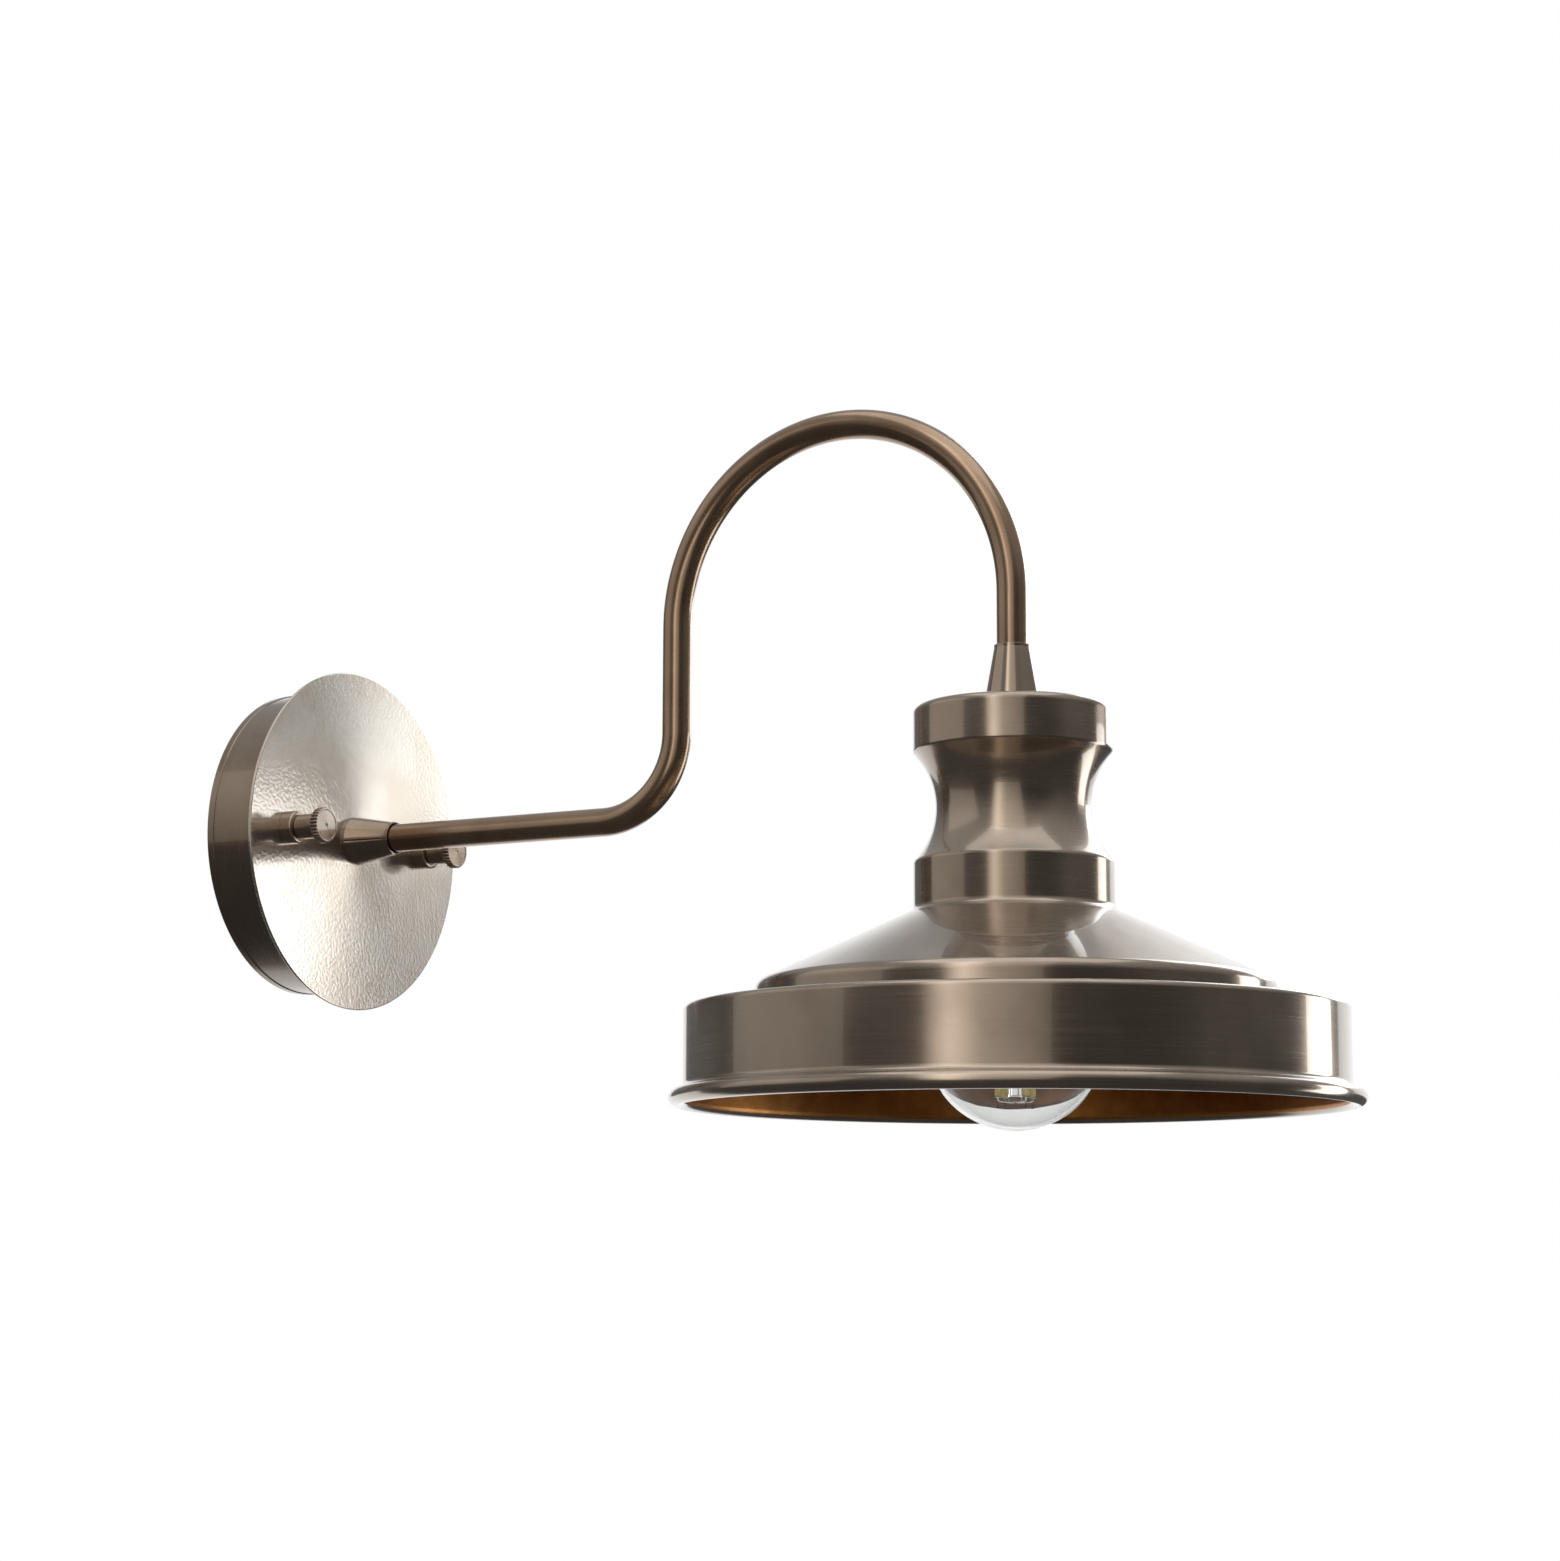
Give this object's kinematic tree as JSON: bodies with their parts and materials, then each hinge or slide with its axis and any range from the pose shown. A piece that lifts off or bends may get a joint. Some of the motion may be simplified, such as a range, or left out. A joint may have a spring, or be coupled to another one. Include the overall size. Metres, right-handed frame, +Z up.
{
  "type": "gooseneck wall sconce",
  "caption": "Gooseneck wall light: a round plate with knurled thumb nuts, a bent tube arm and a stepped spun-metal shade that hangs open downward over a clear screw-in lamp.",
  "frame": {"origin": "centre of the wall plate's back, in the plane of the wall, on the arm's axis", "axes": "+Y points into the wall, so the arm and shade reach out along -Y; +Z is up; +X is to the right for someone who faces the wall"},
  "size_m": [0.2286, 0.4093, 0.2513],
  "materials": {
    "antique_nickel": "satin spun metal with an antique pewter-bronze plating, copper-brown inside the shade",
    "aged_bronze": "satin, warmer and browner than the shade",
    "zinc_steel": "dull zinc plating",
    "black_steel": "satin black",
    "ceramic": "unglazed white",
    "brass": "plain",
    "clear_glass": "clear, thin",
    "lamp_metal": "nickel-plated",
    "solder": "dull, slightly rounded",
    "black_glass": "glossy black",
    "circuit_board": "matt green",
    "phosphor": "matt yellow silicone over light-emitting chips",
    "pale_plastic": "moulded, off-white",
    "brown_sleeve": "smooth sleeve",
    "blue_sleeve": "smooth sleeve",
    "green_sleeve": "smooth sleeve"
  },
  "bodies": {
    "root": {"canopy_cup": "antique_nickel", "canopy_disc": "antique_nickel", "wall_bracket": "zinc_steel", "bracket_studs": "zinc_steel", "stud_nuts": "zinc_steel", "arm_washer": "zinc_steel", "arm_nut": "zinc_steel", "wall_cone": "aged_bronze", "gooseneck_tube": "aged_bronze", "shade_cone": "aged_bronze", "shade": "antique_nickel", "shade_washer": "zinc_steel", "shade_nut": "zinc_steel", "holder_cap": "black_steel", "holder_grub_screw": "zinc_steel", "holder_sleeve": "black_steel", "holder_ceramic": "ceramic", "holder_shell": "brass", "holder_contact": "brass", "holder_terminals": "brass", "holder_terminal_screws": "zinc_steel", "terminal_block": "pale_plastic", "terminal_screws": "zinc_steel", "live_wire": "brown_sleeve", "neutral_wire": "blue_sleeve", "earth_wire": "green_sleeve", "earth_tag": "zinc_steel", "earth_screw": "zinc_steel"},
    "left_nut_carrier": {"left_nut_bush": "antique_nickel"},
    "left_nut": {"left_thumb_nut": "antique_nickel"},
    "right_nut_carrier": {"right_nut_bush": "antique_nickel"},
    "right_nut": {"right_thumb_nut": "antique_nickel"},
    "lamp_carrier": {"lamp_tip": "solder", "lamp_insulator": "black_glass"},
    "lamp": {"lamp_glass": "clear_glass", "lamp_cap": "lamp_metal", "lamp_driver": "circuit_board", "lamp_stem": "clear_glass", "lamp_filaments": "phosphor", "lamp_supports": "lamp_metal"}
  },
  "joints": [
    {"name": "left_nut_travel", "type": "slide", "parent": "root", "child": "left_nut_carrier", "axis": [0, -1, 0], "range_m": [0, 0.0071]},
    {"name": "left_nut_turn", "type": "hinge", "parent": "left_nut_carrier", "child": "left_nut", "pos_m": [-0.041, -0.025, 0], "axis": [0, -1, 0], "range_deg": [0, 3600]},
    {"name": "right_nut_travel", "type": "slide", "parent": "root", "child": "right_nut_carrier", "axis": [0, -1, 0], "range_m": [0, 0.0071]},
    {"name": "right_nut_turn", "type": "hinge", "parent": "right_nut_carrier", "child": "right_nut", "pos_m": [0.041, -0.025, 0], "axis": [0, -1, 0], "range_deg": [0, 3600]},
    {"name": "lamp_travel", "type": "slide", "parent": "root", "child": "lamp_carrier", "axis": [0, 0, -1], "range_m": [0, 0.0182]},
    {"name": "lamp_turn", "type": "hinge", "parent": "lamp_carrier", "child": "lamp", "pos_m": [0, -0.295, -0.05], "axis": [0, 0, -1], "range_deg": [0, 1800]}
  ],
  "couplings": [
    {"joint": "left_nut_travel", "follows": "left_nut_turn", "m_per_rad": 0.00011141},
    {"joint": "right_nut_travel", "follows": "right_nut_turn", "m_per_rad": 0.00011141},
    {"joint": "lamp_travel", "follows": "lamp_turn", "m_per_rad": 0.00057773}
  ]
}
